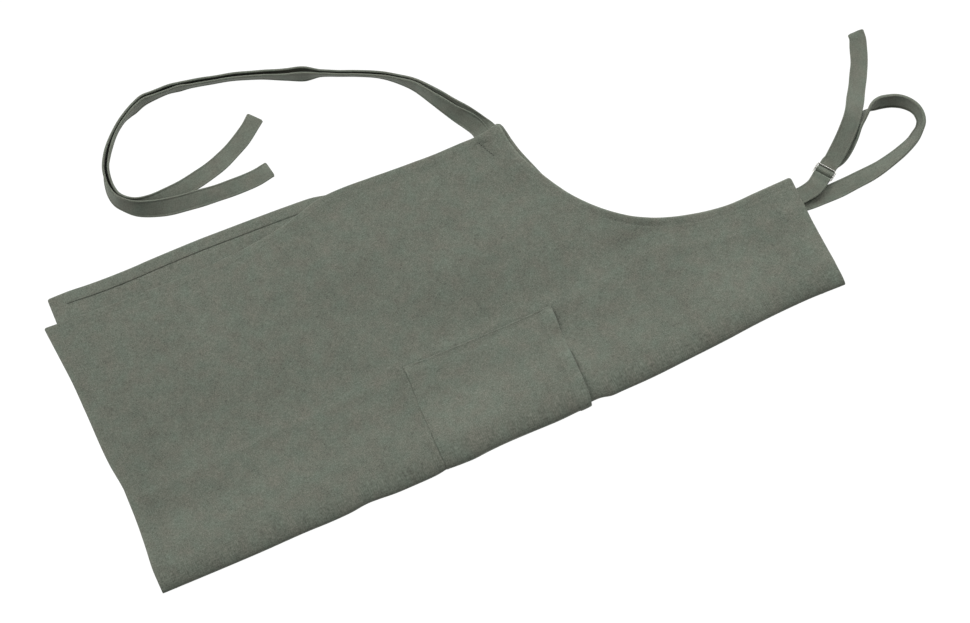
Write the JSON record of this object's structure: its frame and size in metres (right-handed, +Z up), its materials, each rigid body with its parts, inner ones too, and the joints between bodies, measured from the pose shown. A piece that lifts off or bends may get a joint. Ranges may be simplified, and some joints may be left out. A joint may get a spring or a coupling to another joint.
{
  "type": "bib apron",
  "caption": "Cloth bib apron folded in half lengthwise and laid flat, with a wrap-round patch pocket, waist ties, and a neck strap adjusted by a metal slider.",
  "frame": {"origin": "on the table, under the middle of the bounding box", "axes": "+X along the centre fold towards the bib, +Y from the fold towards the open side edges, +Z up from the table"},
  "size_m": [1.0406, 0.5746, 0.02],
  "materials": {
    "cloth": "matte woven cotton blend, grey-green",
    "strap": "matte folded cotton strap, grey-green",
    "steel": "bright nickel-plated wire"
  },
  "bodies": {
    "root": {"apron_panel": "cloth", "pocket": "cloth", "waist_tie_inner": "strap", "waist_tie_outer": "strap", "neck_strap": "strap", "buckle_tab": "strap", "slider_buckle": "steel"}
  },
  "joints": []
}
